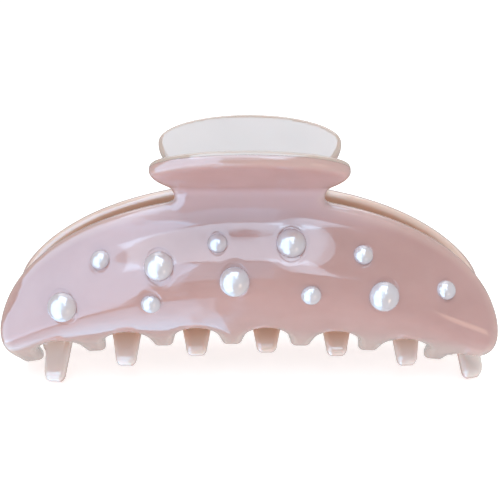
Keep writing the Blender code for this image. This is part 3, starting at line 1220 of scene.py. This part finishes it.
@dataclass
class Knuckle:
    """A barrel on the hinge axis, faired into a pad that is glued inside the neck."""

    sheet: FormedSheet
    radius: float = 2.5
    width: float = 2.6
    pad_low: float = -3.2
    pad_high: float = 2.2
    bore: float = 0.98
    eased: float = 0.3
    front_x: float = 7.0
    rear_x: float = 10.0

    def build(self, side: Side, end: int, material: bpy.types.Material) -> None:
        """Makes one knuckle.

        Args:
            side: Which half it belongs to.
            end: -1 for the left one of that half, seen from its outside, and 1 for the right.
            material: The cream acetate.
        """
        pad = self.sheet.neck_offset - self.sheet.thickness / 2
        barrel = arc((0, 0), (self.radius, self.radius), 110, -110, 48)
        outline = [(-pad, self.pad_high), *barrel, (-pad, self.pad_low)]
        bore = arc((0, 0), (self.bore, self.bore), 0, 360, 40)[:-1]
        name = f"{side.value}_knuckle_{'left' if end < 0 else 'right'}"
        knuckle = cut_slab(f"{name}_horn", [outline, bore], self.width, self.eased, 3)
        upright = Matrix(((0, 0, 1, 0), (1, 0, 0, 0), (0, 1, 0, 0), (0, 0, 0, 1)))
        x = end * (self.front_x if side is Side.FRONT else self.rear_x)
        settle(knuckle, self.sheet.half_matrix(side) @ Matrix.Translation((x * MM, 0, 0)) @ upright)
        dress(knuckle, material)
        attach(knuckle, side.body)
        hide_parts(name)
        report(knuckle, side.body)


@dataclass
class HingeSet:
    """The pin and its cap, carried by the rear half, and the torsion spring."""

    sheet: FormedSheet
    pin_radius: float = 0.9
    pin_half_length: float = 12.4
    head_radius: float = 1.7
    head_thickness: float = 0.8
    cap_overlap: float = 1.0
    clearance: float = 0.08
    eased: float = 0.2
    wire_radius: float = 0.4
    coil_radius: float = 2.0
    coil_turns: int = 6
    coil_half_length: float = 3.9
    leg_length: float = 8.0
    gap: float = 0.3

    def along_hinge(self) -> Matrix:
        """Lays what was turned about Z along the hinge axis."""
        return Matrix.Translation((0, 0, self.sheet.hinge_z)) @ Matrix.Rotation(math.radians(90), 4, "Y")

    def pin(self, material: bpy.types.Material) -> None:
        """Makes the pin with its domed head.

        Args:
            material: Plated steel.
        """
        end, head = self.pin_half_length, self.head_thickness
        dome = arc((0.0, -end - head * 0.45), (self.head_radius, head * 0.55), -90, 0, 12)
        shank = [(self.head_radius, -end), (self.pin_radius, -end)]
        tip = arc((self.pin_radius - self.eased, end - self.eased), (self.eased, self.eased), 0, 90, 4)
        pin = turn_profile("hinge_pin_plated", [(0.0, dome[0][1]), *dome[1:], *shank, *tip, (0.0, end)], 48)
        settle(pin, self.along_hinge(), 35.0)
        dress(pin, material)
        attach(pin, Side.REAR.body)
        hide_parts("hinge_pin")
        report(pin, Side.REAR.body)

    def cap(self, material: bpy.types.Material) -> None:
        """Makes the push-on cap: a ring that grips the pin's plain end.

        Args:
            material: Plated steel.
        """
        near = self.pin_half_length - self.cap_overlap
        far = near + self.head_thickness
        bore, rim = self.pin_radius + self.clearance, self.head_radius
        outer = arc((rim - self.eased, far - self.eased), (self.eased, self.eased), 0, 90, 4)
        fine = self.eased / 2
        lip = arc((bore + fine, far - fine), (fine, fine), 90, 180, 3)
        cap = turn_profile("pin_cap_plated", [(bore, near), (rim, near), *outer, *lip], 48)
        settle(cap, self.along_hinge(), 35.0)
        dress(cap, material)
        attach(cap, Side.REAR.body)
        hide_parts("pin_cap")
        report(cap, Side.REAR.body)

    def spring_path(self) -> list[Vector]:
        """The wire's middle, in millimetres from the hinge: rear leg, coil, front leg.

        Returns:
            The points.
        """
        sheet = self.sheet
        bend_center = sheet.neck_offset + sheet.neck_bend_radius
        face = bend_center * math.cos(sheet.handle_lean) - sheet.neck_bend_radius - sheet.thickness / 2
        closing = self.coil_radius + face - self.gap - self.wire_radius
        lean = sheet.handle_lean + math.asin(closing / self.leg_length)
        start = math.pi - lean
        sweep = 2 * math.pi * self.coil_turns - 2 * start + math.pi
        steps = 40 * self.coil_turns
        coil = []
        for i in range(steps + 1):
            angle = start + sweep * i / steps
            x = self.coil_half_length * (2 * i / steps - 1)
            coil.append(Vector((x, self.coil_radius * math.cos(angle), self.coil_radius * math.sin(angle))))
        reach = Vector((0, math.sin(lean), math.cos(lean))) * self.leg_length
        shares = [i / 12 for i in range(1, 13)]
        rear = [coil[0] + reach * share for share in shares]
        front = [coil[-1] + Vector((0, -reach.y, reach.z)) * share for share in shares]
        return [*reversed(rear), *coil, *front]

    def spring(self, material: bpy.types.Material) -> None:
        """Winds the torsion spring as one fixed mesh; the real spring twists along the hinge as the clip
        opens.

        Args:
            material: Drawn steel.
        """
        curve = bpy.data.curves.new("torsion_spring_wire", "CURVE")
        curve.dimensions = "3D"
        curve.bevel_depth = self.wire_radius
        curve.bevel_resolution = 4
        curve.use_fill_caps = True
        path = self.spring_path()
        spline = curve.splines.new("POLY")
        spline.points.add(len(path) - 1)
        for point, place in zip(spline.points, path):
            point.co = (*place, 1.0)
        spring = bpy.data.objects.new("torsion_spring_wire", curve)
        bpy.context.scene.collection.objects.link(spring)
        make_active(spring)
        bpy.ops.object.convert(target="MESH")
        spring = bpy.context.object
        edit(spring, "VERT")
        bpy.ops.mesh.select_all(action="SELECT")
        bpy.ops.mesh.remove_doubles(threshold=MERGE_MM)
        bpy.ops.mesh.normals_make_consistent(inside=False)
        leave_edit()
        settle(spring, Matrix.Translation((0, 0, self.sheet.hinge_z)), 45.0)
        dress(spring, material)
        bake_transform(spring)
        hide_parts("torsion_spring")
        report(spring, "both halves")


# ---------------------------------------------------------------------------------------
# The studio


@dataclass(frozen=True)
class Softbox:
    """A rectangular lamp that faces a point on the clip."""

    name: str
    azimuth: float
    elevation: float
    distance: float
    size: Point
    radiance: float
    color: Color
    mirrored_only: bool = True

    def build(self, target: Vector) -> None:
        """Hangs the lamp.

        Args:
            target: The point that it faces.
        """
        azimuth, elevation = math.radians(self.azimuth), math.radians(self.elevation)
        away = Vector((math.sin(azimuth) * math.cos(elevation), -math.cos(azimuth) * math.cos(elevation),
                       math.sin(elevation)))
        lamp = bpy.data.lights.new(self.name, "AREA")
        lamp.shape = "RECTANGLE"
        lamp.size, lamp.size_y = self.size
        lamp.energy = self.radiance * math.pi * self.size[0] * self.size[1]
        lamp.color = self.color
        holder = bpy.data.objects.new(self.name, lamp)
        holder.location = target + away * self.distance
        holder.rotation_euler = away.to_track_quat("Z", "Y").to_euler()
        holder.visible_camera = False
        holder.visible_diffuse = not self.mirrored_only
        holder.visible_glossy = self.mirrored_only
        bpy.context.scene.collection.objects.link(holder)


@dataclass(frozen=True)
class Studio:
    """Floor, lamps and camera."""

    hinge_z: float
    elevation: float = 20.0
    distance: float = 0.208
    aim_below_hinge: float = 0.01314
    roll: float = 0.2
    lens: float = 71.35
    sensor: float = 36.0
    air: Color = (1.0, 0.97, 0.95)
    air_strength: float = 0.50
    backdrop_strength: float = 1.1

    def lamps(self) -> tuple[Softbox, ...]:
        """The softboxes, by where they hang round the clip."""
        return (
            Softbox("sky_soft", 0.0, 75.0, 0.70, (0.9, 0.7), 1.6, (1.0, 0.98, 0.97), False),
            Softbox("window_left", -47.0, -4.0, 0.60, (0.78, 1.78), 4.1, (0.43, 0.70, 1.0)),
            Softbox("table_under", -90.0, -66.0, 0.50, (0.46, 0.42), 1.5, (0.30, 0.68, 1.0)),
            Softbox("window_above", -12.0, 76.0, 0.60, (0.57, 0.56), 4.2, (0.55, 0.78, 1.0)),
            Softbox("window_strip", 16.0, 41.0, 0.62, (0.12, 0.28), 3.8, (0.55, 0.78, 1.0)),
            Softbox("room_front", -6.0, 26.0, 0.60, (0.22, 0.50), 1.2, (0.35, 0.70, 1.0)),
            Softbox("warm_card", 36.0, -14.0, 0.60, (0.14, 0.20), 2.0, (1.0, 0.72, 0.54)),
            Softbox("wall_behind", 180.0, 45.0, 0.90, (0.9, 0.6), 1.5, (0.9, 0.95, 1.0)),
        )

    def build(self) -> None:
        """Lays the floor, hangs the lamps and sets the camera."""
        scene = bpy.context.scene
        scene.view_settings.view_transform = "Standard"
        scene.world = self.surroundings()
        self.floor()
        target = Vector((0.0, 0.0, self.hinge_z - self.aim_below_hinge))
        for lamp in self.lamps():
            lamp.build(target)
        self.camera(target)

    def surroundings(self) -> bpy.types.World:
        """Makes the air: dim light all round, which looks white past the floor's edge.

        Returns:
            The world.
        """
        world = bpy.data.worlds.new("studio_air")
        world.use_nodes = True
        tree = world.node_tree
        background = tree.nodes["Background"]
        background.inputs["Color"].default_value = (*self.air, 1.0)
        rays = tree.nodes.new("ShaderNodeLightPath")
        strength = tree.nodes.new("ShaderNodeMapRange")
        strength.inputs["To Min"].default_value = self.air_strength
        strength.inputs["To Max"].default_value = self.backdrop_strength
        tree.links.new(rays.outputs["Is Camera Ray"], strength.inputs["Value"])
        tree.links.new(strength.outputs[0], background.inputs["Strength"])
        return world

    def floor(self) -> None:
        """Lays a wide, pale floor under the tooth tips."""
        deselect_all()
        bpy.ops.mesh.primitive_plane_add(size=6.0, location=(0, 0, 0))
        floor = bpy.context.object
        floor.name = "floor"
        floor.data.materials.append(StudioPaper().material())
        floor.visible_glossy = False

    def camera(self, target: Vector) -> None:
        """Sets the camera.

        Args:
            target: What it looks at.
        """
        elevation = math.radians(self.elevation)
        back = Vector((0.0, -math.cos(elevation), math.sin(elevation)))
        lens = bpy.data.cameras.new("camera")
        lens.lens = self.lens
        lens.sensor_width = self.sensor
        lens.clip_start = 0.01
        camera = bpy.data.objects.new("camera", lens)
        bpy.context.scene.collection.objects.link(camera)
        look = back.to_track_quat("Z", "Y").to_matrix().to_4x4()
        roll = Matrix.Rotation(math.radians(self.roll), 4, "Z")
        camera.matrix_world = Matrix.Translation(target + back * self.distance) @ look @ roll
        bpy.context.scene.camera = camera


def hinge_height() -> float:
    """The hinge axis's height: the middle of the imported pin."""
    low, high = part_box("hinge_pin")
    return (low.z + high.z) / 2


def main() -> None:
    """Builds the clip's pieces and the studio around them."""
    logging.basicConfig(level=logging.INFO, format="%(name)s: %(message)s")
    sheet = FormedSheet(hinge_height())
    row = PearlRow()
    jaw = Jaw(sheet, Blank(), row)
    jaw.prepare()
    acetate = LaminatedAcetate().material(sheet.hinge_z)
    horn = CreamAcetate().material()
    nacre = Nacre().material()
    pearls = PearlSet(sheet, row)
    models = {size: pearls.model(size) for size in PearlSize}
    knuckle = Knuckle(sheet)
    for side in Side:
        jaw.build(side, acetate)
        pearls.build(side, models, nacre)
        for end in (-1, 1):
            knuckle.build(side, end, horn)
    for model in models.values():
        bpy.data.objects.remove(model)
    plated = Steel("plated_steel", (0.74, 0.73, 0.71), 0.16, 0.4).material()
    drawn = Steel("drawn_steel", (0.66, 0.65, 0.63), 0.24, 0.15).material()
    hinge = HingeSet(sheet)
    hinge.pin(plated)
    hinge.cap(plated)
    hinge.spring(drawn)
    Studio(sheet.hinge_z).build()


if __name__ == "__main__":
    main()
